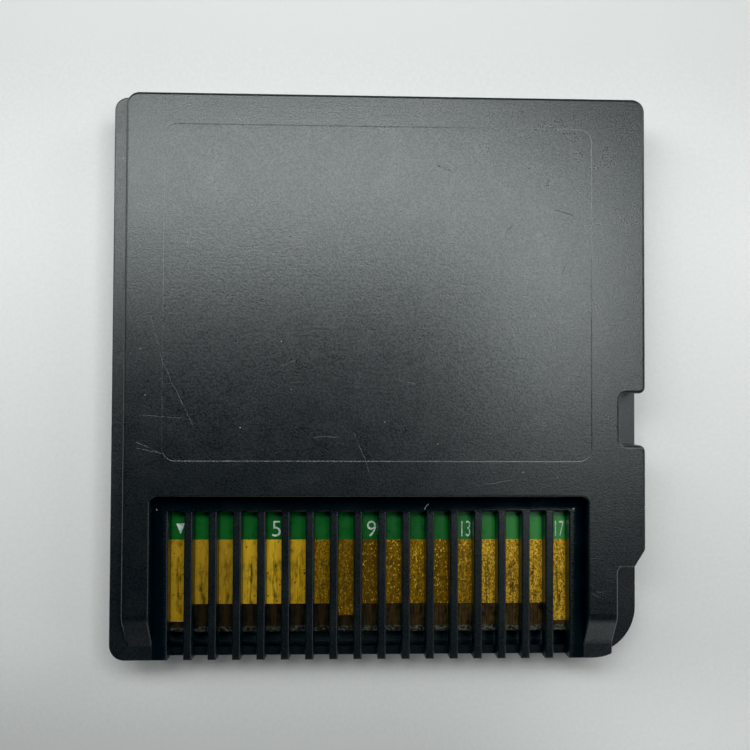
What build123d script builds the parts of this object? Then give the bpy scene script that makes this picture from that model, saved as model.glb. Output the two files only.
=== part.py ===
from build123d import *
from math import radians, tan
import os

# A game cartridge: two moulded half shells around a small circuit board, with a row of gold
# contacts behind a comb of ribs. It lies on its label face with the contacts up.
# X runs across the card, Y along it with the contact end at -Y, Z up from the label face.
# All sizes are in millimetres, and angles in degrees.

# Contact row
contact_count = 17
contact_pitch = 1.5
contact_width = 1.0
contact_thickness = 0.04
rib_width = 0.5
rib_draft = 3.0
finger_length = 5.86
short_setback = 1.84
middle_setback = 1.11
long_setback = 0.74
middle_contact_number = 8

# Bands across the card, from its left edge to its right edge
shelf_width = 1.0
left_rail_width = 1.67
window_margin = 0.87
right_rail_width = 1.83
side_cut_depth = 1.76

# Lengths along the card
card_length = 34.9
window_length = 10.18
slot_setback = 1.05
lip_setback = 0.05
lip_width = 0.53
land_depth = 0.97
ramp_run = 1.76
side_cut_length = 5.9
lead_in_length = 1.05
lead_in_depth = 0.65

# Stack of layers from the label face up
floor_thickness = 0.75
ledge_height = 0.32
board_thickness = 0.8
mask_thickness = 0.03
comb_clearance = 0.1
comb_thickness = 0.75
chip_standoff = 0.05
chip_thickness = 1.0
chip_headroom = 0.2
roof_thickness = 0.65

# Rounded corners and edges
back_corner_radius = 0.8
front_left_radius = 0.95
front_right_radius = 3.0
window_corner_radius = 0.4
window_rim_round = 0.12
side_cut_radius = 0.35
side_cut_round = 0.08
lead_in_radius = 0.35
rail_corner_radius = 0.15
back_edge_round = 0.2
shelf_edge_round = 0.1
rib_edge_round = 0.1
label_edge_round = 0.3
ramp_round = 1.2
ramp_foot_round = 1.5
ramp_foot_ease = 10.0

# Latch notch in the right edge
notch_centre_from_front = 14.97
notch_length = 3.2
notch_depth = 1.6
notch_inner_radius = 0.4
notch_outer_radius = 0.38

# Shallow panel on the back face and label recess under the card
panel_width = 26.2
panel_length = 20.5
panel_from_back = 2.0
panel_depth = 0.02
panel_wall_slope = 72.0
panel_radius = 0.78
label_width = 28.4
label_length = 26.0
label_from_back = 2.05
label_depth = 0.12
label_radius = 1.5

# Walls, the board's pocket and the pins that join the halves
rail_overlap = 0.17
back_wall = 2.65
ledge_width = 1.1
hold_down = 0.9
bay_wall = 0.65
bay_radius = 0.8
board_clearance = 0.12
board_front_gap = 0.82
board_corner_radius = 0.5
board_bevel_length = 0.42
board_bevel_depth = 0.25
support_setback = 0.6
support_length = 3.0
crossbar_height = 0.65
crossbar_clearance = 0.05
pin_radius = 0.45
pin_height = 0.5
pin_clearance = 0.05
pin_end_clearance = 0.1
pin_inset = 1.05
pin_from_back = 2.25
pin_behind_cut = 2.4

# Chips and small parts on the board
lead_thickness = 0.15
lead_reach = 0.35
foot_length = 0.5
memory_leads_per_side = 20
memory_lead_pitch = 0.8
memory_lead_width = 0.3
memory_end = 1.2
memory_width = 8.0
memory_from_bay_back = 1.0
save_leads_per_side = 4
save_lead_pitch = 1.27
save_lead_width = 0.4
save_end = 0.2
save_width = 3.9
save_from_bay_front = 0.8
save_from_middle = 6.5
chip_edge_round = 0.12
small_part_length = 1.6
small_part_width = 0.8
capacitor_thickness = 0.8
resistor_thickness = 0.45
small_part_pitch = 2.0
capacitor_count = 3
resistor_count = 2

# Places that follow from the sizes above
slot_width = contact_pitch - rib_width
field_width = contact_count * contact_pitch - rib_width
window_width = field_width + 2 * window_margin
card_width = shelf_width + left_rail_width + window_width + right_rail_width + side_cut_depth
left_edge = -card_width / 2
right_edge = card_width / 2
front_edge = -card_length / 2
back_edge = card_length / 2
body_left = left_edge + shelf_width
window_left = body_left + left_rail_width
window_right = window_left + window_width
window_middle = (window_left + window_right) / 2
window_back = front_edge + window_length
slot_back = window_back - slot_setback
rail_right = right_edge - side_cut_depth
side_cut_back = front_edge + side_cut_length
notch_y = front_edge + notch_centre_from_front
ramp_foot = front_edge + land_depth
ramp_top = ramp_foot + ramp_run

ledge_top = floor_thickness + ledge_height
board_top = ledge_top + board_thickness
parting = board_top + mask_thickness
comb_bottom = parting + comb_clearance
land = comb_bottom + comb_thickness
chip_seat = parting + chip_standoff
roof_bottom = chip_seat + chip_thickness + chip_headroom
card_thickness = roof_bottom + roof_thickness
crossbar_bottom = parting - crossbar_height

pocket_half_width = rail_right - rail_overlap
pocket_back = back_edge - back_wall
lip_front = front_edge + lip_setback
pocket_front = lip_front + lip_width
bay_half_width = pocket_half_width - hold_down
bay_back = pocket_back - hold_down
bay_front = window_back + bay_wall
board_front = pocket_front + board_front_gap
board_back = pocket_back - board_clearance
board_half_width = pocket_half_width - board_clearance
mask_front = board_front + finger_length
first_contact_x = window_middle - (contact_count - 1) / 2 * contact_pitch
contact_xs = [first_contact_x + i * contact_pitch for i in range(contact_count)]
pin_xs = (left_edge + pin_inset, right_edge - pin_inset)
pin_ys = (back_edge - pin_from_back, side_cut_back + lead_in_length + pin_behind_cut)
pin_places = [(x, y) for x in pin_xs for y in pin_ys]


def plate(x0, y0, x1, y1):
    """Flat rectangle between two corners."""
    return Pos((x0 + x1) / 2, (y0 + y1) / 2) * Rectangle(x1 - x0, y1 - y0)


def rounded_plate(x0, y0, x1, y1, radius):
    """Flat rectangle between two corners, with all its corners rounded."""
    return Pos((x0 + x1) / 2, (y0 + y1) / 2) * RectangleRounded(x1 - x0, y1 - y0, radius)


def layer(face, bottom, top):
    """A flat face drawn up into a solid between two heights."""
    return extrude(Pos(0, 0, bottom) * face, amount=top - bottom, dir=(0, 0, 1))


def card_plan():
    """Outline of the whole card, with one large corner at the right of the contact end."""
    plan = plate(left_edge, front_edge, right_edge, back_edge)
    plan = fillet(plan.vertices().group_by(Axis.Y)[-1], back_corner_radius)
    plan = fillet(plan.vertices().group_by(Axis.Y)[0].sort_by(Axis.X)[0], front_left_radius)
    return fillet(plan.vertices().group_by(Axis.Y)[0].sort_by(Axis.X)[-1], front_right_radius)


def back_plan():
    """Outline of the contact half: the card less its latch notch and the cut beside the right rail."""
    outside = right_edge + side_cut_depth
    beyond = front_edge - side_cut_length
    cut_points = [
        (rail_right, beyond),
        (rail_right, side_cut_back),
        (right_edge - lead_in_depth, side_cut_back),
        (right_edge, side_cut_back + lead_in_length),
        (outside, side_cut_back + lead_in_length),
        (outside, beyond),
    ]
    side_cut = make_face(Polyline(*cut_points, close=True))
    inner_corner = side_cut.vertices().sort_by_distance((rail_right, side_cut_back))[0]
    side_cut = fillet(inner_corner, side_cut_radius)
    notch = plate(right_edge - notch_depth, notch_y - notch_length / 2, outside, notch_y + notch_length / 2)
    notch = fillet(notch.vertices().group_by(Axis.X)[0], notch_inner_radius)
    plan = card_plan() - side_cut - notch
    for side in (-1, 1):
        mouth = (right_edge, notch_y + side * notch_length / 2)
        plan = fillet(plan.vertices().sort_by_distance(mouth)[0], notch_outer_radius)
    lead_in = (right_edge, side_cut_back + lead_in_length)
    plan = fillet(plan.vertices().sort_by_distance(lead_in)[0], lead_in_radius)
    return fillet(plan.vertices().sort_by_distance((rail_right, front_edge))[0], rail_corner_radius)


def window_plan():
    """Outline of the contact window, open at the contact end."""
    plan = plate(window_left, front_edge - lip_width, window_right, window_back)
    return fillet(plan.vertices().group_by(Axis.Y)[-1], window_corner_radius)


def front_shell():
    """Label half: a shallow tray whose ledge carries the board, with pins that join it to the other half."""
    shell = layer(card_plan(), 0, parting)
    shell = fillet(shell.faces().sort_by(Axis.Z)[0].outer_wire().edges(), label_edge_round)
    pocket = plate(-pocket_half_width, pocket_front, pocket_half_width, pocket_back)
    shell -= layer(pocket, ledge_top, parting)
    well_half_width = pocket_half_width - ledge_width
    well_back = pocket_back - ledge_width
    well = rounded_plate(-well_half_width, pocket_front, well_half_width, well_back, bay_radius)
    shell -= layer(well, floor_thickness, parting)
    support_front = board_front + support_setback
    support = plate(-pocket_half_width, support_front, pocket_half_width, support_front + support_length)
    shell += layer(support, floor_thickness, ledge_top)
    seat_left = window_left - crossbar_clearance
    seat_right = window_right + crossbar_clearance
    crossbar_seat = plate(seat_left, front_edge - lip_width, seat_right, pocket_front)
    shell -= layer(crossbar_seat, crossbar_bottom - crossbar_clearance, parting)
    label_back = back_edge - label_from_back
    label_front = label_back - label_length
    label = rounded_plate(-label_width / 2, label_front, label_width / 2, label_back, label_radius)
    shell -= layer(label, 0, label_depth)
    for x, y in pin_places:
        shell += layer(Pos(x, y) * Circle(pin_radius), parting, parting + pin_height)
    return shell


def ramped_block():
    """Raised part of the contact half before its rims are rounded: two rails that end in ramps.

    Each ramp eases into the land at its foot, and its end lies just under the land's surface.
    """
    block_front = ramp_foot - land_depth / 2
    plan = back_plan() & plate(body_left, block_front, right_edge, back_edge)
    plan = fillet(plan.vertices().sort_by_distance((body_left, back_edge))[0], back_corner_radius)
    block = layer(plan, parting, card_thickness)
    wedge_points = [
        (ramp_foot - land_depth, land - land_depth * tan(radians(ramp_foot_ease))),
        (ramp_foot, land),
        (ramp_top, card_thickness),
        (ramp_top, card_thickness + ramp_run),
        (ramp_foot - land_depth, card_thickness + ramp_run),
    ]
    wedge = make_face(Polyline(*wedge_points, close=True))
    wedge = fillet(wedge.vertices().sort_by_distance((ramp_foot, land))[0], ramp_foot_round)
    block -= extrude(Plane.YZ * wedge, amount=card_width, both=True)
    ridge = block.edges().filter_by(Axis.X).sort_by_distance((0, ramp_top, card_thickness))[0]
    block = fillet(ridge, ramp_round)
    return block - layer(window_plan(), parting, card_thickness)


def rim_edges(block):
    """Upper edges of the raised part, less the uprights and the ridges where the ramps start."""
    rims = []
    for edge in block.edges():
        size = edge.bounding_box().size
        upright = size.Z > max(size.X, size.Y)
        across_ramp = size.X > size.Y and ramp_foot < edge.center().Y < ramp_top + ramp_round
        if edge.center().Z > land and not upright and not across_ramp:
            rims.append(edge)
    return rims


def round_rims(block):
    """Rounds the rims: softly on the outside, finely beside the cut and round the window."""
    def beside_cut(edge):
        place = edge.center()
        return place.X > rail_right - side_cut_round and place.Y < side_cut_back + side_cut_round

    def beside_window(edge):
        place = edge.center()
        inside = window_left - window_rim_round < place.X < window_right + window_rim_round
        return inside and place.Y < window_back + window_rim_round

    outer = [edge for edge in rim_edges(block) if not beside_cut(edge) and not beside_window(edge)]
    block = fillet(outer, back_edge_round)
    block = fillet([edge for edge in rim_edges(block) if beside_cut(edge)], side_cut_round)
    return fillet([edge for edge in rim_edges(block) if beside_window(edge)], window_rim_round)


def slot():
    """Space between two ribs, narrower towards the board by the ribs' draft, with softened upper edges."""
    half = slot_width / 2
    foot = half - (land - parting) * tan(radians(rib_draft))
    mouth = half + rib_edge_round
    section_points = [
        (-foot, parting),
        (foot, parting),
        (half, land),
        (mouth, land),
        (mouth, land + rib_edge_round),
        (-mouth, land + rib_edge_round),
        (-mouth, land),
        (-half, land),
    ]
    section = make_face(Polyline(*section_points, close=True))
    for side in (-half, half):
        section = fillet(section.vertices().sort_by_distance((side, land))[0], rib_edge_round)
    space = extrude(Pos(0, slot_back) * (Plane.XZ * section), amount=window_length, dir=(0, -1, 0))
    bevel_points = [(slot_back, land), (slot_back + rib_edge_round, land), (slot_back, land - rib_edge_round)]
    bevel = make_face(Polyline(*bevel_points, close=True))
    return space + extrude(Plane.YZ * bevel, amount=half, both=True)


def comb():
    """Lower layer of the contact half, with softened upper edges, slotted into a comb of ribs."""
    base = layer(back_plan(), parting, land)
    base = fillet(base.faces().sort_by(Axis.Z)[-1].outer_wire().edges(), shelf_edge_round)
    space = slot()
    for x in contact_xs:
        base -= Pos(x) * space
    return base


def panel_recess():
    """Shallow recess in the back face, with sides that slope out to the face."""
    panel_back = back_edge - panel_from_back
    panel_front = panel_back - panel_length
    floor = rounded_plate(-panel_width / 2, panel_front, panel_width / 2, panel_back, panel_radius)
    floor = Pos(0, 0, card_thickness - panel_depth) * floor
    return extrude(floor, amount=panel_depth, dir=(0, 0, 1), taper=-panel_wall_slope)


def back_shell():
    """Contact half: raised body, shelf and rails, a window floored by the comb, and a bay over the chips."""
    shell = comb() + round_rims(ramped_block())
    shell -= layer(plate(window_left, pocket_front, window_right, window_back), parting, comb_bottom)
    shell += layer(plate(window_left, lip_front, window_right, pocket_front), crossbar_bottom, parting)
    bay = rounded_plate(-bay_half_width, bay_front, bay_half_width, bay_back, bay_radius)
    shell -= layer(bay, parting, roof_bottom)
    shell -= panel_recess()
    for x, y in pin_places:
        socket = Pos(x, y) * Circle(pin_radius + pin_clearance)
        shell -= layer(socket, parting, parting + pin_height + pin_end_clearance)
    return shell


def board_plan():
    return rounded_plate(-board_half_width, board_front, board_half_width, board_back, board_corner_radius)


def circuit_board():
    """Flat board whose front edge is bevelled on both sides."""
    board = layer(board_plan(), ledge_top, board_top)
    for side, inward in ((board_top, -1), (ledge_top, 1)):
        corner_points = [
            (board_front, side),
            (board_front + board_bevel_length, side),
            (board_front, side + inward * board_bevel_depth),
        ]
        corner = make_face(Polyline(*corner_points, close=True))
        board -= extrude(Plane.YZ * corner, amount=card_width, both=True)
    return board


def solder_mask():
    """Green coating over the board's contact side, up to the contacts."""
    covered = board_plan() & plate(-board_half_width, mask_front, board_half_width, board_back)
    return layer(covered, board_top, parting)


def contact_pad(number, x):
    """One plated contact: the outer two and one near the middle reach further forward."""
    setback = short_setback
    if number in (1, contact_count):
        setback = long_setback
    elif number == middle_contact_number:
        setback = middle_setback
    plan = plate(x - contact_width / 2, board_front + setback, x + contact_width / 2, mask_front)
    return layer(plan, board_top, board_top + contact_thickness)


def chip_body(length, width, x, y):
    """Moulded package with softened upper edges."""
    body = layer(Pos(x, y) * Rectangle(length, width), chip_seat, chip_seat + chip_thickness)
    return chamfer(body.faces().sort_by(Axis.Z)[-1].edges(), chip_edge_round)


def chip_leads(per_side, pitch, lead_width, width, x, y):
    """Two rows of bent leads, each from the side of the package down to a foot on the board."""
    shank = chip_seat + chip_thickness / 2
    half = lead_thickness / 2
    start = width / 2
    knee = start + lead_reach
    foot_end = knee + foot_length
    foot_top = parting + lead_thickness
    points = [
        (start, shank - half),
        (start, shank + half),
        (knee + half, shank + half),
        (knee + half, foot_top),
        (foot_end, foot_top),
        (foot_end, parting),
        (knee - half, parting),
        (knee - half, shank - half),
    ]
    profile = Plane.YZ * make_face(Polyline(*points, close=True))
    lead = extrude(profile, amount=lead_width / 2, both=True)
    leads = []
    for i in range(per_side):
        along = (i - (per_side - 1) / 2) * pitch
        leads.append(Pos(x + along, y) * lead)
        leads.append(Pos(x + along, y) * Rot(0, 0, 180) * lead)
    return Compound(leads)


def small_part(thickness, x, y):
    """Surface-mounted block that lies along the card."""
    plan = Pos(x, y) * Rectangle(small_part_width, small_part_length)
    return layer(plan, parting, parting + thickness)


lead_span = 2 * (lead_reach + foot_length)
memory_length = memory_leads_per_side * memory_lead_pitch + 2 * memory_end
memory_y = bay_back - memory_from_bay_back - (memory_width + lead_span) / 2
save_length = save_leads_per_side * save_lead_pitch + 2 * save_end
save_x = -save_from_middle
save_y = bay_front + save_from_bay_front + (save_width + lead_span) / 2

pieces = {
    "front_shell": front_shell(),
    "back_shell": back_shell(),
    "circuit_board": circuit_board(),
    "solder_mask": solder_mask(),
    "memory_chip": chip_body(memory_length, memory_width, 0, memory_y),
    "memory_chip_leads": chip_leads(
        memory_leads_per_side, memory_lead_pitch, memory_lead_width, memory_width, 0, memory_y
    ),
    "save_chip": chip_body(save_length, save_width, save_x, save_y),
    "save_chip_leads": chip_leads(
        save_leads_per_side, save_lead_pitch, save_lead_width, save_width, save_x, save_y
    ),
}
for number, x in enumerate(contact_xs, start=1):
    pieces[f"contact_pad_{number:02d}"] = contact_pad(number, x)
for number in range(1, capacitor_count + 1):
    pieces[f"capacitor_{number}"] = small_part(capacitor_thickness, number * small_part_pitch, save_y)
for number in range(1, resistor_count + 1):
    place = (capacitor_count + number) * small_part_pitch
    pieces[f"resistor_{number}"] = small_part(resistor_thickness, place, save_y)

os.makedirs("parts", exist_ok=True)
for name, piece in pieces.items():
    export_step(piece, f"parts/{name}.step")
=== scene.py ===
import bpy
import math
from mathutils import Euler, Matrix, Vector


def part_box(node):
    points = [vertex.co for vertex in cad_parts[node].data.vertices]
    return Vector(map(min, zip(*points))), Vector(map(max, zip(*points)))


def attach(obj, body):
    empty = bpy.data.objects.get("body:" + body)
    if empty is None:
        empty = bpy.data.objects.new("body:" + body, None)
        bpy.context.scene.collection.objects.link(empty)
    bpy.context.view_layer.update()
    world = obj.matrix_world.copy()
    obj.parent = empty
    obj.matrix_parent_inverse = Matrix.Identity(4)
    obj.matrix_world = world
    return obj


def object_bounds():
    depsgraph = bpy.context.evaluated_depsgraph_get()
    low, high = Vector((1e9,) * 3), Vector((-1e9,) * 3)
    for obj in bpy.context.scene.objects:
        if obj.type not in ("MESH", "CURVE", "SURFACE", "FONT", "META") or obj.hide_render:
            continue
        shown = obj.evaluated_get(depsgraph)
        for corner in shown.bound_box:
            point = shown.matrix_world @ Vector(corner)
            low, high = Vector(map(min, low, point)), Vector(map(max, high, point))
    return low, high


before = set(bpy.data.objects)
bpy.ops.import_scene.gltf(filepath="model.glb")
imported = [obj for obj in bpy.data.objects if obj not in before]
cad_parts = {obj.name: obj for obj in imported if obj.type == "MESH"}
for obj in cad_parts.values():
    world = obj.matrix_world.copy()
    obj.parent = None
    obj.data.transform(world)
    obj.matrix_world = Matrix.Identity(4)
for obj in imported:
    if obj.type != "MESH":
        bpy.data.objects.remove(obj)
cad_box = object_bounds()


# Front shell: the label half of the case, a shallow tray that lies face down on the table.
# It is injection moulded in charcoal ABS, and the mould's spark-eroded steel gives it a fine grain.
# Four pins weld it to the contact half; its label recess is bare.
mm = 0.001
charcoal = (0.0030, 0.0040, 0.0052, 1)
# Lighter charcoal for rubbed grain and scratches, and for the painted highlight on edges.
rubbed_and_highlit_charcoal = (0.060, 0.068, 0.070, 1)
charcoal_sheen = (0.96, 1.0, 1.0, 1)
charcoal_ior = 1.535
grain_per_mm = 11.0
grain_sheen = 0.50
grain_sheen_roughness = 0.35
front_roughness = 0.37


class Wire:
    """A node's output. Arithmetic on it adds Math nodes, and node() adds any other kind."""

    def __init__(self, socket):
        self.socket = socket

    def node(self, kind, sockets, output=0, stops=(), **settings):
        """Adds a node: its settings and ramp stops first, then its sockets' values or links."""
        tree = self.socket.id_data
        made = tree.nodes.new(kind)
        for name, setting in settings.items():
            setattr(made, name, setting)
        for index, (position, colour) in enumerate(stops):
            elements = made.color_ramp.elements
            element = elements[index] if index < 2 else elements.new(position)
            element.position = position
            element.color = colour
        for name, value in sockets.items():
            if isinstance(value, Wire):
                tree.links.new(value.socket, made.inputs[name])
            else:
                made.inputs[name].default_value = value
        return Wire(made.outputs[output])

    def math(self, operation, *values):
        """Adds a Math node with the given values."""
        return self.node("ShaderNodeMath", dict(enumerate(values)), operation=operation)

    def feed(self, node, name):
        """Links this output to a node's named input."""
        self.socket.id_data.links.new(self.socket, node.inputs[name])

    def __add__(self, other):
        return self.math("ADD", self, other)

    def __sub__(self, other):
        return self.math("SUBTRACT", self, other)

    def __rsub__(self, other):
        return self.math("SUBTRACT", other, self)

    def __mul__(self, other):
        return self.math("MULTIPLY", self, other)

    def __truediv__(self, other):
        return self.math("DIVIDE", self, other)

    def __abs__(self):
        return self.math("ABSOLUTE", self)

    __radd__ = __add__
    __rmul__ = __mul__


def new_finish(name, even_values):
    """A new material, its shader with the even values set, and the piece's own millimetres."""
    material = bpy.data.materials.new(name)
    material.use_nodes = True
    tree = material.node_tree
    shader = tree.nodes["Principled BSDF"]
    for socket, value in even_values.items():
        shader.inputs[socket].default_value = value
    metres = Wire(tree.nodes.new("ShaderNodeTexCoord").outputs["Object"])
    place = metres.node("ShaderNodeVectorMath", {0: metres, "Scale": 1 / mm}, operation="SCALE")
    return material, shader, place


def axis(place, letter):
    """One coordinate of a place."""
    return place.node("ShaderNodeSeparateXYZ", {0: place}, letter)


def stretched(place, across, along, up=1.0):
    """The same place with each axis scaled, for grain that runs one way."""
    return place.node("ShaderNodeVectorMath", {0: place, 1: (across, along, up)}, operation="MULTIPLY")


def noise(place, scale, detail=2.0):
    """Soft grey noise about 0.5, with the given number of lumps to a millimetre."""
    return place.node("ShaderNodeTexNoise", {"Vector": place, "Scale": scale, "Detail": detail}, "Fac")


def rise(value, low, high):
    """0 below low and 1 above high, with a smooth climb between."""
    limits = {"Value": value, "From Min": low, "From Max": high}
    return value.node("ShaderNodeMapRange", limits, interpolation_type="SMOOTHSTEP")


def blend(mask, first, second):
    """A colour that turns from the first to the second as the mask goes from 0 to 1."""
    return mask.node("ShaderNodeMix", {0: mask, 6: first, 7: second}, 2, data_type="RGBA")


def bump(height, strength, depth):
    """A normal that follows a height of the given depth in millimetres."""
    sockets = {"Height": height, "Strength": strength, "Distance": depth * mm}
    return height.node("ShaderNodeBump", sockets)


def line_marks(place, lines):
    """1 along each line between two points of the face, falling to 0 at its width to either side."""
    flat = stretched(place, 1.0, 1.0, 0.0)
    marks = None
    for x0, y0, x1, y1, width in lines:
        span = Vector((x1 - x0, y1 - y0, 0))
        start = place.node("ShaderNodeVectorMath", {0: flat, 1: (x0, y0, 0)}, operation="SUBTRACT")
        factors = {0: start, 1: span / span.length_squared}
        share = place.node("ShaderNodeVectorMath", factors, "Value", operation="DOT_PRODUCT")
        share = place.node("ShaderNodeClamp", {"Value": share})
        nearest = place.node("ShaderNodeVectorMath", {0: span, "Scale": share}, operation="SCALE")
        gap = place.node("ShaderNodeVectorMath", {0: start, 1: nearest}, "Value", operation="DISTANCE")
        line = 1 - rise(gap, 0.2 * width, width)
        marks = line if marks is None else marks.math("MAXIMUM", marks, line)
    return marks


def scratch_marks(place, scratches):
    """Hairlines across the face that waver and break off."""
    wander = place.node("ShaderNodeTexNoise", {"Vector": place, "Scale": 1.1, "Detail": 3.0}, "Color")
    wander = place.node("ShaderNodeVectorMath", {0: wander, 1: (0.5, 0.5, 0.5)}, operation="SUBTRACT")
    wander = place.node("ShaderNodeVectorMath", {0: wander, "Scale": 0.22}, operation="SCALE")
    shifted = place.node("ShaderNodeVectorMath", {0: place, 1: wander}, operation="ADD")
    return line_marks(shifted, scratches) * rise(noise(place, 2.6, 3.0), 0.30, 0.60)


def moulded_charcoal(name, even_roughness, scratches, painted_edge_highlights=(), floor_polish=None, worn_step=None):
    """Scratched charcoal plastic with a sheen on its grain. Edges can carry a painted highlight; a floor
    and a step can be worn.
    """
    even_values = {
        "IOR": charcoal_ior,
        "Specular Tint": charcoal_sheen,
        "Coat Roughness": grain_sheen_roughness,
    }
    material, shader, place = new_finish(name, even_values)
    grain = noise(place, grain_per_mm, 2.0)
    speckle = rise(grain, 0.38, 0.62)
    mottle = noise(place, 0.55, 4.0)
    polish_lines = noise(stretched(place, 0.3, 7.0), 1.0, 2.0)
    marks = scratch_marks(place, scratches)
    rubbed_and_highlit = 0.020 * speckle + 0.04 * rise(mottle, 0.45, 0.75) + 0.24 * marks
    sheen = grain_sheen * speckle
    roughness = even_roughness + 0.050 * (speckle - 0.5) + 0.10 * (mottle - 0.5)
    roughness = roughness + 0.018 * (polish_lines - 0.5)
    roughness = roughness + 0.12 * marks
    height = 0.013 * grain + 0.003 * polish_lines - 0.010 * marks
    if painted_edge_highlights:
        # Painted highlight: pale lines along the given edges.
        rubbed_and_highlit = rubbed_and_highlit + 0.9 * line_marks(place, painted_edge_highlights)
    if floor_polish:
        polish = floor_polish(place)
        roughness = roughness - 0.26 * polish
        height = height * (1 - 0.95 * polish)
        sheen = sheen * (1 - polish)
    if worn_step:
        height = height + worn_step(place)
    blend(rubbed_and_highlit, charcoal, rubbed_and_highlit_charcoal).feed(shader, "Base Color")
    roughness.feed(shader, "Roughness")
    sheen.feed(shader, "Coat Weight")
    bump(height, 1.0, 1.0).feed(shader, "Normal")
    return material


def finish_nodes(material, *names):
    """Gives CAD nodes their finish."""
    for name in names:
        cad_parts[name].material_slots[0].material = material


front_scratches = [
    (-9.0, 4.0, -6.0, 6.5, 0.05),
    (2.5, -8.0, 7.5, -6.0, 0.04),
    (10.0, 10.0, 12.5, 6.0, 0.05),
]
finish_nodes(moulded_charcoal("front_shell_charcoal", front_roughness, front_scratches), "front_shell")


# Circuit board: a thin slab of glass cloth and epoxy, bare and brown in front of the contacts.
# It lies in the front shell's pocket on a ledge, held down by the contact half.
# A stub of etched-back copper stains the resin before each contact.
board_low, board_high = (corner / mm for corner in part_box("circuit_board"))
pad_low, pad_high = (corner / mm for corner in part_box("contact_pad_01"))
last_low, last_high = (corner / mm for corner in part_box("contact_pad_17"))
first_pad_x = (pad_low.x + pad_high.x) / 2
pad_width = pad_high.x - pad_low.x
pad_count = 17
pad_pitch = (last_low.x - pad_low.x) / (pad_count - 1)
resin_brown = (0.020, 0.0120, 0.0026, 1)
resin_painted_light = (0.085, 0.0570, 0.0130, 1)
resin_dark = (0.0050, 0.0032, 0.0010, 1)
stub_brown = (0.040, 0.0165, 0.0040, 1)
torn_glass = (0.170, 0.190, 0.160, 1)
stub_width = 0.36
bevel_length = 0.42


def across_pads(place):
    """The number of the pad at each place, from 0, and how far it lies from the pad's middle line."""
    along_row = (axis(place, "X") - first_pad_x) / pad_pitch
    number = along_row.math("ROUND", along_row)
    return number, abs(along_row - number) * pad_pitch


def laminate():
    """Brown resin over woven cloth, with painted light towards the right, copper stubs and a torn pale
    edge.
    """
    material, shader, place = new_finish("board_laminate", {"IOR": 1.25, "Roughness": 0.5})
    number, off_middle = across_pads(place)
    threads = noise(stretched(place, 9.0, 0.8), 1.0, 2.0)
    weave = noise(stretched(place, 3.0, 3.0), 1.0, 2.0)
    tear = noise(stretched(place, 5.0, 7.0), 1.0, 3.0)
    from_edge = axis(place, "Y") - board_low.y + 0.12 * (noise(place, 2.2, 2.0) - 0.5)
    # Painted light: the resin, the copper stubs and the torn edge are painted lighter towards the last
    # contacts.
    painted_light_share = rise(number / (pad_count - 1), 0.35, 0.90)
    torn = (1 - rise(abs(from_edge - 0.55 * bevel_length), 0.12, 0.25)) * rise(tear, 0.44, 0.60)
    torn = torn * (0.5 + 0.5 * painted_light_share)
    stub = 1 - rise(off_middle + 0.10 * (threads - 0.5), 0.40 * stub_width, 0.60 * stub_width)
    # The resin with its painted light towards the last contacts.
    clear = blend(painted_light_share, resin_brown, resin_painted_light)
    resin = blend(rise(0.6 * threads + 0.4 * weave, 0.35, 0.65), resin_dark, clear)
    stained = blend(stub * (0.3 + 0.3 * painted_light_share), resin, stub_brown)
    blend(torn, stained, torn_glass).feed(shader, "Base Color")
    bump(threads + stub + 2 * torn * tear, 0.35, 0.02).feed(shader, "Normal")
    return material


finish_nodes(laminate(), "circuit_board")


# Torn glass: ends of broken glass fibre along the board's bevelled front edge.
# The cutter that made the bevel left them standing out of the resin, each its own way.
fibre_length = 0.16
fibre_radius = 0.010
fibres_per_square_mm = 14.0
fibre_colour = (0.18, 0.20, 0.17, 1)
fibre_shade = (0.06, 0.065, 0.055, 1)
bevel_depth = 0.25


def new_tree(name, sizes):
    """A tree for meshes and its group input, as wires by name."""
    tree = bpy.data.node_groups.new(name, "GeometryNodeTree")
    tree.interface.new_socket("Base", in_out="INPUT", socket_type="NodeSocketGeometry")
    tree.interface.new_socket("Result", in_out="OUTPUT", socket_type="NodeSocketGeometry")
    for size in sizes:
        tree.interface.new_socket(size, in_out="INPUT", socket_type="NodeSocketFloat")
    start = tree.nodes.new("NodeGroupInput")
    return tree, {socket.name: Wire(socket) for socket in start.outputs if socket.name}


def close_tree(tree, instances, material):
    """Ends a tree: makes its instances real and gives them their material."""
    real = instances.node("GeometryNodeRealizeInstances", {"Geometry": instances})
    finished = real.node("GeometryNodeSetMaterial", {"Geometry": real, "Material": material})
    finished.feed(tree.nodes.new("NodeGroupOutput"), "Result")


def grown_piece(name, base, tree, sizes):
    """A piece with the plain mesh that a tree makes on a base mesh, its sizes set by identifier."""
    piece = bpy.data.objects.new(name, base)
    bpy.context.scene.collection.objects.link(piece)
    modifier = piece.modifiers.new(name, "NODES")
    modifier.node_group = tree
    for item in tree.interface.items_tree:
        if item.in_out == "INPUT" and item.name in sizes:
            modifier[item.identifier] = sizes[item.name]
    evaluated = piece.evaluated_get(bpy.context.evaluated_depsgraph_get())
    grown = bpy.data.meshes.new_from_object(evaluated)
    piece.modifiers.remove(modifier)
    piece.data = grown
    return piece


def glass_fibre():
    """Pale broken glass, duller where resin clings to it."""
    material, shader, place = new_finish("glass_fibre", {"IOR": 1.5, "Roughness": 0.35})
    blend(noise(place, 4.0, 2.0), fibre_shade, fibre_colour).feed(shader, "Base Color")
    return material


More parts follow.
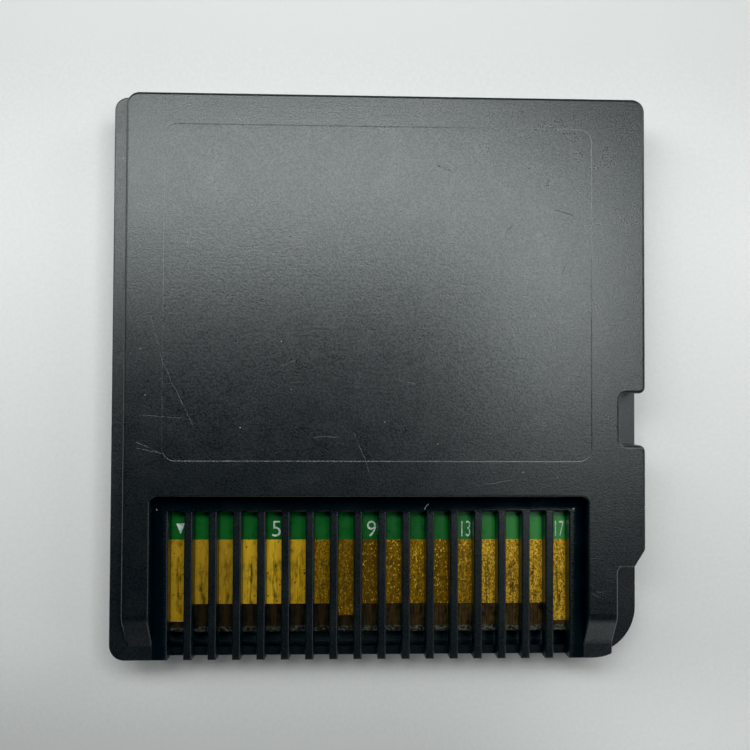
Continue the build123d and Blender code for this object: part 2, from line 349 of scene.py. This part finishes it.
def fibre_tree():
    """Thin spikes scattered over a strip, each turned its own way and of its own length."""
    tree, given = new_tree("torn_fibres", ("Density", "Length", "Radius"))
    base = given["Base"]
    scatter = {"Mesh": base, "Density": given["Density"], "Seed": 11}
    points = base.node("GeometryNodeDistributePointsOnFaces", scatter)
    spike = base.node(
        "GeometryNodeMeshCone",
        {"Vertices": 5, "Radius Top": 0.0, "Radius Bottom": given["Radius"], "Depth": given["Length"]},
    )
    turns = {0: (1.15, -0.5, -1.3), 1: (1.75, 0.5, 1.3), "Seed": 5}
    turn = base.node("FunctionNodeRandomValue", turns, data_type="FLOAT_VECTOR")
    growth = {0: (0.6, 0.6, 0.4), 1: (1.3, 1.3, 1.2), "Seed": 7}
    size = base.node("FunctionNodeRandomValue", growth, data_type="FLOAT_VECTOR")
    placed = {"Points": points, "Instance": spike, "Rotation": turn, "Scale": size}
    close_tree(tree, base.node("GeometryNodeInstanceOnPoints", placed), glass_fibre())
    return tree


bevel_strip = bpy.data.meshes.new("bevel_strip")
bevel_strip.from_pydata(
    [
        Vector((board_low.x, board_low.y, board_high.z - bevel_depth)) * mm,
        Vector((board_high.x, board_low.y, board_high.z - bevel_depth)) * mm,
        Vector((board_high.x, board_low.y + bevel_length, board_high.z)) * mm,
        Vector((board_low.x, board_low.y + bevel_length, board_high.z)) * mm,
    ],
    [],
    [(0, 1, 2, 3)],
)
fibre_sizes = {
    "Density": fibres_per_square_mm / mm ** 2,
    "Length": fibre_length * mm,
    "Radius": fibre_radius * mm,
}
torn_fibres = grown_piece("torn_fibres", bevel_strip, fibre_tree(), fibre_sizes)
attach(torn_fibres, "root")


# Solder mask: a thin green lacquer, curtain coated over the board and its copper, then cured.
# It stops in a straight line where the gold begins.
mask_low, mask_high = (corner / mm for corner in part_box("solder_mask"))
lacquer_over_copper = (0.0075, 0.118, 0.014, 1)
lacquer_over_resin = (0.0030, 0.046, 0.008, 1)
lacquer_painted_light = (0.0500, 0.275, 0.060, 1)


def green_lacquer():
    """Green lacquer, lighter where copper lies under it, with painted light over the copper towards the
    last contacts.
    """
    material, shader, place = new_finish("green_lacquer", {"IOR": 1.5})
    number, off_middle = across_pads(place)
    copper = 1 - rise(off_middle, 0.40 * pad_width, 0.52 * pad_width)
    cloud = noise(place, 1.6, 3.0)
    tone = blend(copper * (0.75 + 0.5 * (cloud - 0.5)), lacquer_over_resin, lacquer_over_copper)
    # Painted light: the green over the copper turns lighter towards the last contacts.
    thin = 0.8 * copper * rise(number / (pad_count - 1), 0.62, 1.0)
    blend(thin, tone, lacquer_painted_light).feed(shader, "Base Color")
    (0.30 + 0.25 * (cloud - 0.5)).feed(shader, "Roughness")
    bump(cloud + copper, 0.25, 0.02).feed(shader, "Normal")
    return material


finish_nodes(green_lacquer(), "solder_mask")


# Contact marks: white epoxy ink, screen printed on the lacquer behind the contacts.
# A triangle marks the first contact, and every fourth one after it has its number.
ink_white = (0.62, 0.66, 0.64, 1)
ink_thin = (0.36, 0.43, 0.39, 1)
ink_height = 0.012
number_height = 1.05
number_middle_y = mask_low.y + 0.68
number_room = 0.56
print_offset = 0.10
stroke_trim = 0.012


def screen_ink():
    """White ink, thinner in places so that the green shows."""
    material, shader, place = new_finish("screen_ink", {"IOR": 1.5, "Roughness": 0.5})
    blend(rise(noise(place, 7.0, 2.0), 0.35, 0.60), ink_thin, ink_white).feed(shader, "Base Color")
    return material


def printed_mesh(name, outline, x):
    """A curve or text made a mesh behind the contact at x, narrowed to the room between two ribs."""
    holder = bpy.data.objects.new(name, outline)
    bpy.context.scene.collection.objects.link(holder)
    evaluated = holder.evaluated_get(bpy.context.evaluated_depsgraph_get())
    mesh = bpy.data.meshes.new_from_object(evaluated)
    bpy.data.objects.remove(holder)
    xs = [vertex.co.x for vertex in mesh.vertices]
    ys = [vertex.co.y for vertex in mesh.vertices]
    middle = Vector(((min(xs) + max(xs)) / 2, (min(ys) + max(ys)) / 2, 0))
    narrowing = min(1.0, number_room * mm / (max(xs) - min(xs)))
    place = Vector((x + print_offset, number_middle_y, mask_high.z)) * mm
    mesh.transform(Matrix.Translation(-middle))
    mesh.transform(Matrix.Diagonal((narrowing, 1, 1, 1)))
    mesh.transform(Matrix.Translation(place))
    return mesh


def triangle_outline(width, height):
    """A filled triangle that points to the contacts."""
    outline = bpy.data.curves.new("first_contact_triangle", "CURVE")
    outline.dimensions = "2D"
    outline.fill_mode = "BOTH"
    spline = outline.splines.new("POLY")
    spline.points.add(2)
    corners = ((-width / 2, height / 2), (width / 2, height / 2), (0, -height / 2))
    for point, (x, y) in zip(spline.points, corners):
        point.co = (x * mm, y * mm, 0, 1)
    spline.use_cyclic_u = True
    return outline


def number_outline(number):
    """A number in plain upright figures, thin in the stroke."""
    outline = bpy.data.curves.new(f"contact_number_{number}", "FONT")
    outline.body = str(number)
    outline.size = number_height / 0.73 * mm
    outline.offset = -stroke_trim * mm
    return outline


ink = screen_ink()
outlines = {1: triangle_outline(0.62, 0.66)}
for number in range(5, pad_count + 1, 4):
    outlines[number] = number_outline(number)
for number, outline in outlines.items():
    outline.extrude = ink_height / 2 * mm
    mark_mesh = printed_mesh(outline.name, outline, first_pad_x + (number - 1) * pad_pitch)
    mark_mesh.materials.clear()
    mark_mesh.materials.append(ink)
    mark = bpy.data.objects.new(f"contact_mark_{number}", mark_mesh)
    bpy.context.scene.collection.objects.link(mark)
    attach(mark, "root")


# Contacts: seventeen copper pads, plated with nickel and a flash of gold.
# The console's springs have wiped a track along each one and worn the plating.
# Each pad's tone, from the first to the last: partly its own plating and wear, partly painted light for
# the light that each pad gets.
gold_and_painted_light_stops = [
    (0.00, (0.62, 0.360, 0.020, 1)),
    (0.14, (0.54, 0.320, 0.020, 1)),
    (0.20, (0.95, 0.570, 0.030, 1)),
    (0.28, (0.95, 0.570, 0.030, 1)),
    (0.36, (0.52, 0.290, 0.006, 1)),
    (0.50, (0.22, 0.110, 0.001, 1)),
    (0.62, (0.56, 0.295, 0.002, 1)),
    (0.70, (0.29, 0.155, 0.001, 1)),
    (0.80, (1.00, 0.570, 0.040, 1)),
    (1.00, (1.00, 0.560, 0.040, 1)),
]
worn_gold = (0.085, 0.052, 0.006, 1)
grain_brown = (0.105, 0.052, 0.002, 1)
glint_gold = (1.00, 0.620, 0.060, 1)
pit_brown = (0.016, 0.009, 0.002, 1)
deep_pits = [(-4.55, -12.3, 0.08), (-4.60, -12.1, 0.06), (-11.5, -12.9, 0.09)]


def wiped_gold():
    """Gold plate with wiped tracks; freckled on the left pads, grainy and glinting on the others."""
    material, shader, place = new_finish("wiped_gold", {"Metallic": 0.40, "IOR": 1.3})
    number, off_middle = across_pads(place)
    share = number / (pad_count - 1)
    gold = place.node("ShaderNodeValToRGB", {"Fac": share}, "Color", gold_and_painted_light_stops)
    along = axis(place, "Y")
    past_front = rise(along, pad_low.y + 0.2, pad_low.y + 1.2)
    wiped = past_front * (1 - rise(along, pad_high.y - 1.6, pad_high.y - 0.8))
    streaks = noise(stretched(place, 9.0, 0.6), 1.0, 3.0)
    clouds = noise(stretched(place, 3.5, 1.4), 1.0, 5.0)
    track = (1 - rise(off_middle, 0.04, 0.32)) * rise(0.6 * streaks + 0.4 * clouds, 0.40, 0.58) * wiped
    crystals = {"Vector": stretched(place, 1.0, 0.8), "Scale": 14.0}
    cells = place.node("ShaderNodeTexVoronoi", crystals, "Color")
    chance = axis(cells, "X")
    grainy = rise(share, 0.33, 0.37)
    right = rise(share, 0.76, 0.81)
    brown = grainy * (0.25 + 0.60 * rise(axis(cells, "Y"), 0.15, 0.75)) * (1 - 0.08 * right)
    glint = rise(chance, 0.84 - 0.24 * right, 0.99 - 0.14 * right)
    glint = glint * (0.45 + 0.55 * rise(share, 0.46, 0.54))
    glint = grainy * glint * (1 - 0.8 * track)
    freckles = (1 - grainy) * rise(noise(place, 6.0, 2.0) + 0.15 * (streaks - 0.5), 0.64, 0.72)
    for x, y, radius in deep_pits:
        ends = {0: place, 1: (x, y, pad_high.z)}
        pit = place.node("ShaderNodeVectorMath", ends, "Value", operation="DISTANCE")
        freckles = freckles.math("MAXIMUM", freckles, 1 - rise(pit, 0.6 * radius, radius))
    worn = 0.62 * track + 0.50 * rise(clouds, 0.46, 0.72)
    worn = worn + 0.18 * right * wiped * rise(streaks, 0.42, 0.60)
    plate = blend(glint, blend(worn, blend(brown, gold, grain_brown), worn_gold), glint_gold)
    blend(freckles, plate, pit_brown).feed(shader, "Base Color")
    (0.40 + 0.20 * (streaks - 0.5) - 0.10 * glint).feed(shader, "Roughness")
    bump(0.5 * streaks + 0.5 * grainy * chance, 0.4, 0.03).feed(shader, "Normal")
    return material


pad_names = [f"contact_pad_{number:02d}" for number in range(1, pad_count + 1)]
finish_nodes(wiped_gold(), *pad_names)


# Chips: the program memory and the save memory, in black epoxy packages with tinned leads.
# They are soldered to the contact side of the board, inside the closed case.
epoxy_black = (0.012, 0.012, 0.013, 1)
epoxy_grey = (0.028, 0.028, 0.030, 1)
tin_bright = (0.62, 0.62, 0.60, 1)
tin_dull = (0.38, 0.38, 0.37, 1)


def moulded_epoxy():
    """Dull black filler-loaded epoxy."""
    material, shader, place = new_finish("chip_epoxy", {"IOR": 1.55})
    filler = noise(place, 9.0, 3.0)
    blend(rise(filler, 0.35, 0.75), epoxy_black, epoxy_grey).feed(shader, "Base Color")
    (0.55 + 0.2 * (filler - 0.5)).feed(shader, "Roughness")
    bump(filler, 0.3, 0.01).feed(shader, "Normal")
    return material


def tinned_lead():
    """Matt tin on copper."""
    material, shader, place = new_finish("tinned_lead", {"Metallic": 1.0})
    cloud = noise(place, 3.0, 3.0)
    blend(cloud, tin_dull, tin_bright).feed(shader, "Base Color")
    (0.32 + 0.2 * (cloud - 0.5)).feed(shader, "Roughness")
    return material


finish_nodes(moulded_epoxy(), "memory_chip", "save_chip")
finish_nodes(tinned_lead(), "memory_chip_leads", "save_chip_leads")


# Capacitors and resistors: fired ceramic blocks with tinned ends, soldered beside the save memory.
# All five stand in one row across the board.
ceramic_tan = (0.30, 0.19, 0.10, 1)
ceramic_black = (0.016, 0.016, 0.018, 1)
end_cap = 0.3


def ceramic_block(name, node, body_colour):
    """A ceramic body between two tinned ends."""
    low, high = (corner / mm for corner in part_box(node))
    middle = (low.y + high.y) / 2
    body_end = (high.y - low.y) / 2 - end_cap
    material, shader, place = new_finish(name, {"IOR": 1.5})
    capped = rise(abs(axis(place, "Y") - middle), body_end - 0.02, body_end + 0.02)
    cloud = noise(place, 4.0, 3.0)
    darker = tuple(0.7 * channel for channel in body_colour[:3]) + (1,)
    blend(capped, blend(cloud, darker, body_colour), tin_bright).feed(shader, "Base Color")
    capped.feed(shader, "Metallic")
    (0.45 - 0.12 * capped + 0.2 * (cloud - 0.5)).feed(shader, "Roughness")
    return material


for number in (1, 2, 3):
    node = f"capacitor_{number}"
    finish_nodes(ceramic_block(f"{node}_ceramic", node, ceramic_tan), node)
for number in (1, 2):
    node = f"resistor_{number}"
    finish_nodes(ceramic_block(f"{node}_ceramic", node, ceramic_black), node)


# Back shell: the contact half of the case, with the comb of ribs over the contacts.
# It is moulded in the same charcoal ABS as the front shell and welded to its pins.
# Use has scratched its flat face, most of all at the left; the edge of the side cut carries a painted
# highlight.
back_scratches = [
    (-13.8, 3.7, -13.1, 0.9, 0.035),
    (-13.1, 0.9, -12.1, -1.2, 0.04),
    (-12.1, -1.2, -11.3, -2.8, 0.05),
    (-14.9, -3.8, -13.2, -4.6, 0.05),
    (-14.6, -4.3, -13.2, -4.6, 0.035),
    (-14.4, -2.3, -11.8, -2.5, 0.035),
    (-5.9, 0.7, -5.1, 1.1, 0.045),
    (-1.5, -3.3, -0.5, -5.8, 0.045),
    (1.3, -0.1, 2.2, -0.3, 0.05),
    (6.1, -6.5, 8.2, -6.2, 0.04),
    (3.6, 13.1, 4.4, 12.8, 0.04),
    (7.7, 9.0, 8.3, 9.5, 0.035),
    (11.0, 10.4, 12.1, 10.1, 0.04),
    (11.7, 7.2, 11.3, 6.5, 0.05),
    (-4.1, -3.6, -2.4, -3.6, 0.035),
    (13.2, -13.1, 13.7, -13.4, 0.05),
    (13.5, -13.0, 13.9, -13.1, 0.04),
]
back_roughness = 0.31
# Painted highlight along the rounded edge of the side cut, as lines x0, y0, x1, y1 and width.
painted_edge_highlights = [
    (14.72, -11.8, 14.72, -16.4, 0.09),
    (14.71, -11.8, 14.85, -11.52, 0.07),
    (14.85, -11.52, 15.90, -11.50, 0.07),
]
window_left, window_right, window_back = -13.83, 12.91, -7.27
panel_middle = (0.0, 5.2, 0.0)
panel_half_size = (13.1, 10.25, 0.0)
panel_radius = 0.78
panel_depth = 0.02
panel_wall_run = 0.0616
step_wear = 0.52


def recess_polish(place):
    """1 on the window's floor by its walls, 0 about a millimetre away, below 0 on the outer steps."""
    half_width = (window_right - window_left) / 2
    from_side = half_width - abs(axis(place, "X") - (window_left + window_right) / 2)
    from_back = window_back - axis(place, "Y")
    nearest = from_side.math("MINIMUM", 1.7 * from_side, from_back)
    below_rim = 1 - rise(axis(place, "Z"), 3.0, 3.3)
    inside = rise(nearest, -0.05, 0.0)
    return below_rim * (inside * (1 - rise(nearest, 0.65, 1.40)) - 0.22 * (1 - inside))


def panel_step(place):
    """The height that use has taken off the step round the shallow panel, in millimetres."""
    inner = tuple(half - panel_radius for half in panel_half_size[:2]) + (0.0,)
    offset = place.node("ShaderNodeVectorMath", {0: place, 1: panel_middle}, operation="SUBTRACT")
    flat = stretched(offset, 1.0, 1.0, 0.0)
    beyond = place.node("ShaderNodeVectorMath", {0: flat}, operation="ABSOLUTE")
    beyond = place.node("ShaderNodeVectorMath", {0: beyond, 1: inner}, operation="SUBTRACT")
    corner = place.node("ShaderNodeVectorMath", {0: beyond, 1: (0, 0, 0)}, operation="MAXIMUM")
    corner = place.node("ShaderNodeVectorMath", {0: corner}, "Value", operation="LENGTH")
    longest = axis(beyond, "X").math("MAXIMUM", axis(beyond, "X"), axis(beyond, "Y"))
    distance = corner + longest.math("MINIMUM", longest, 0.0) - panel_radius
    outside = place.node("ShaderNodeClamp", {"Value": distance / panel_wall_run})
    return step_wear * panel_depth * (1 - outside)


back_charcoal = moulded_charcoal(
    "back_shell_charcoal", back_roughness, back_scratches, painted_edge_highlights, recess_polish, panel_step
)
finish_nodes(back_charcoal, "back_shell")


# Dust: single specks of pale household dust that lie where they fell, and one wisp of lint.
# They are the ones large enough to see; each is a small irregular crumb.
dust_pale = (0.78, 0.80, 0.78, 1)
dust_grey = (0.16, 0.17, 0.17, 1)
crumb_size = 0.045
face_z = cad_box[1].z / mm
strip_z = 2.75
face_specks = [(-14.45, 1.71), (-14.15, -1.10), (-5.96, 2.20), (-5.35, -0.73)]
face_specks += [(-8.41, -3.05), (0.38, -2.68), (3.62, -4.03), (8.87, -5.74)]
face_specks += [(11.0, -6.04), (-3.0, 15.6), (9.6, 3.9), (-11.7, 8.2)]
strip_specks = [(-13.65, -8.20), (12.28, -8.12), (12.32, -8.18), (12.34, -8.10), (-15.95, 13.6)]
lint_points = [(2.92, -8.15), (3.02, -8.00), (3.06, -7.92), (3.15, -7.84)]
lint_radius = 0.010


def household_dust():
    """Dull grey lint and crumbs."""
    material, shader, place = new_finish("household_dust", {"Roughness": 0.9, "IOR": 1.4})
    blend(noise(place, 6.0, 2.0), dust_grey, dust_pale).feed(shader, "Base Color")
    return material


def crumb_tree(material):
    """A crumb at each point of the base, turned and sized by chance."""
    tree, given = new_tree("crumbs", ("Size",))
    base = given["Base"]
    crumb = base.node("GeometryNodeMeshIcoSphere", {"Radius": given["Size"], "Subdivisions": 1})
    turns = {0: (0.0, 0.0, 0.0), 1: (6.0, 6.0, 6.0), "Seed": 3}
    turn = base.node("FunctionNodeRandomValue", turns, data_type="FLOAT_VECTOR")
    growth = {0: (0.5, 0.5, 0.4), 1: (1.3, 1.0, 0.7), "Seed": 9}
    size = base.node("FunctionNodeRandomValue", growth, data_type="FLOAT_VECTOR")
    placed = {"Points": base, "Instance": crumb, "Rotation": turn, "Scale": size}
    close_tree(tree, base.node("GeometryNodeInstanceOnPoints", placed), material)
    return tree


def lint_wisp(material):
    """A short bent fibre."""
    path = bpy.data.curves.new("lint", "CURVE")
    path.dimensions = "3D"
    path.bevel_depth = lint_radius * mm
    path.bevel_resolution = 1
    spline = path.splines.new("POLY")
    spline.points.add(len(lint_points) - 1)
    for point, (x, y) in zip(spline.points, lint_points):
        point.co = (x * mm, y * mm, (strip_z + lint_radius) * mm, 1)
    holder = bpy.data.objects.new("lint", path)
    bpy.context.scene.collection.objects.link(holder)
    mesh = bpy.data.meshes.new_from_object(holder.evaluated_get(bpy.context.evaluated_depsgraph_get()))
    bpy.data.objects.remove(holder)
    mesh.materials.clear()
    mesh.materials.append(material)
    wisp = bpy.data.objects.new("lint_wisp", mesh)
    bpy.context.scene.collection.objects.link(wisp)
    return wisp


dust = household_dust()
speck_points = [Vector((x, y, face_z)) * mm for x, y in face_specks]
speck_points += [Vector((x, y, strip_z)) * mm for x, y in strip_specks]
speck_mesh = bpy.data.meshes.new("speck_points")
speck_mesh.from_pydata(speck_points, [], [])
dust_specks = grown_piece("dust_specks", speck_mesh, crumb_tree(dust), {"Size": crumb_size * mm})
for piece in (dust_specks, lint_wisp(dust)):
    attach(piece, "root")


# Table: a plain pale matt top, on which the card lies with its label side down.
# Its colour has painted shade: greyer behind the card and in front of the card's left half, and paler in
# front towards the right.
table_pale = (0.880, 0.880, 0.880, 1)
table_painted_shade = (0.605, 0.605, 0.605, 1)
table_half_width = 0.6
table_gap = 0.02 * mm


def matt_table():
    """Pale matt paint with faint clouds and painted shade behind the card and in front at the left."""
    material, shader, place = new_finish("matt_table", {"Roughness": 0.7, "IOR": 1.45})
    painted_shade_toward_light = rise(axis(place, "Y"), 8.0, 24.0)
    away = rise(-1 * axis(place, "Y"), 16.0, 25.0)
    right = rise(axis(place, "X"), 0.0, 22.0)
    fibres = noise(place, 4.0, 2.0)
    # Painted shade: greyer behind the card and in front at the left, paler in front at the right.
    painted_shade = 0.5 + 0.52 * painted_shade_toward_light + (0.54 - right) * away + 0.30 * (fibres - 0.5)
    blend(painted_shade, table_pale, table_painted_shade).feed(shader, "Base Color")
    return material


table_mesh = bpy.data.meshes.new("table")
table_z = cad_box[0].z - table_gap
table_corners = []
for x, y in ((-1, -1), (1, -1), (1, 1), (-1, 1)):
    table_corners.append((x * table_half_width, y * table_half_width, table_z))
table_mesh.from_pydata(table_corners, [], [(0, 1, 2, 3)])
table_mesh.materials.append(matt_table())
table = bpy.data.objects.new("table", table_mesh)
bpy.context.scene.collection.objects.link(table)


# Light: a wide softbox over the back edge of the card, a narrow lamp and a panel at its right, and fills.
# All have one faintly green daylight colour, and none shows to the camera.
# A low black level deepens the shadows, most of all in red, as in the photograph.
daylight = (0.955, 1.0, 0.985)
room_strength = 0.015
shadow_depth = (0.0028, 0.0017, 0.0010)


def soft_light(name, middle, aim, width, depth, radiance):
    """A rectangular light at a place in millimetres, turned to face another."""
    lamp = bpy.data.lights.new(name, "AREA")
    lamp.shape = "RECTANGLE"
    lamp.size = width * mm
    lamp.size_y = depth * mm
    lamp.energy = radiance * math.pi * lamp.size * lamp.size_y
    lamp.color = daylight
    holder = bpy.data.objects.new(name, lamp)
    holder.location = Vector(middle) * mm
    holder.rotation_euler = (Vector(aim) - Vector(middle)).to_track_quat("-Z", "Y").to_euler()
    holder.visible_camera = False
    bpy.context.scene.collection.objects.link(holder)


soft_light("softbox", (-17, 31.5, 65), (-17, 31.5, 0), 74, 26, 7.2)
soft_light("lamp", (27.5, 17.5, 65), (27.5, 17.5, 0), 9, 30, 10.0)
soft_light("panel", (42, 14, 84.5), (42, 14, 0), 38, 60, 2.0)
soft_light("left_fill", (-160, 80, 90), (0, 0, 0), 90, 90, 3.5)
soft_light("right_fill", (160, -50, 80), (0, 0, 0), 90, 90, 1.0)
soft_light("right_back_fill", (160, 90, 90), (0, 0, 0), 90, 90, 3.5)
soft_light("front_fill", (0, -180, 90), (0, 0, 0), 80, 80, 1.0)
soft_light("low_front_fill", (90, -210, 48), (0, 0, 0), 140, 60, 0.8)
room = bpy.data.worlds.new("room")
room.use_nodes = True
room.node_tree.nodes["Background"].inputs["Color"].default_value = (*daylight, 1)
room.node_tree.nodes["Background"].inputs["Strength"].default_value = room_strength
bpy.context.scene.world = room
view = bpy.context.scene.view_settings
view.view_transform = "Standard"
view.use_curve_mapping = True
view.curve_mapping.black_level = shadow_depth
view.curve_mapping.update()


# Camera: held close over the card, looking almost straight down at the contact side.
# Its place and turn were fitted to the card's edges and ribs.
camera_place = (-1.63, -0.79, 49.60)
camera_turn = (0.0211, -0.0305, 0.0045)
lens_data = bpy.data.cameras.new("camera")
lens_data.sensor_width = 36
lens_data.lens = 36
lens_data.clip_start = 1 * mm
camera = bpy.data.objects.new("camera", lens_data)
camera.location = Vector(camera_place) * mm
camera.rotation_euler = Euler(camera_turn)
bpy.context.scene.collection.objects.link(camera)
bpy.context.scene.camera = camera
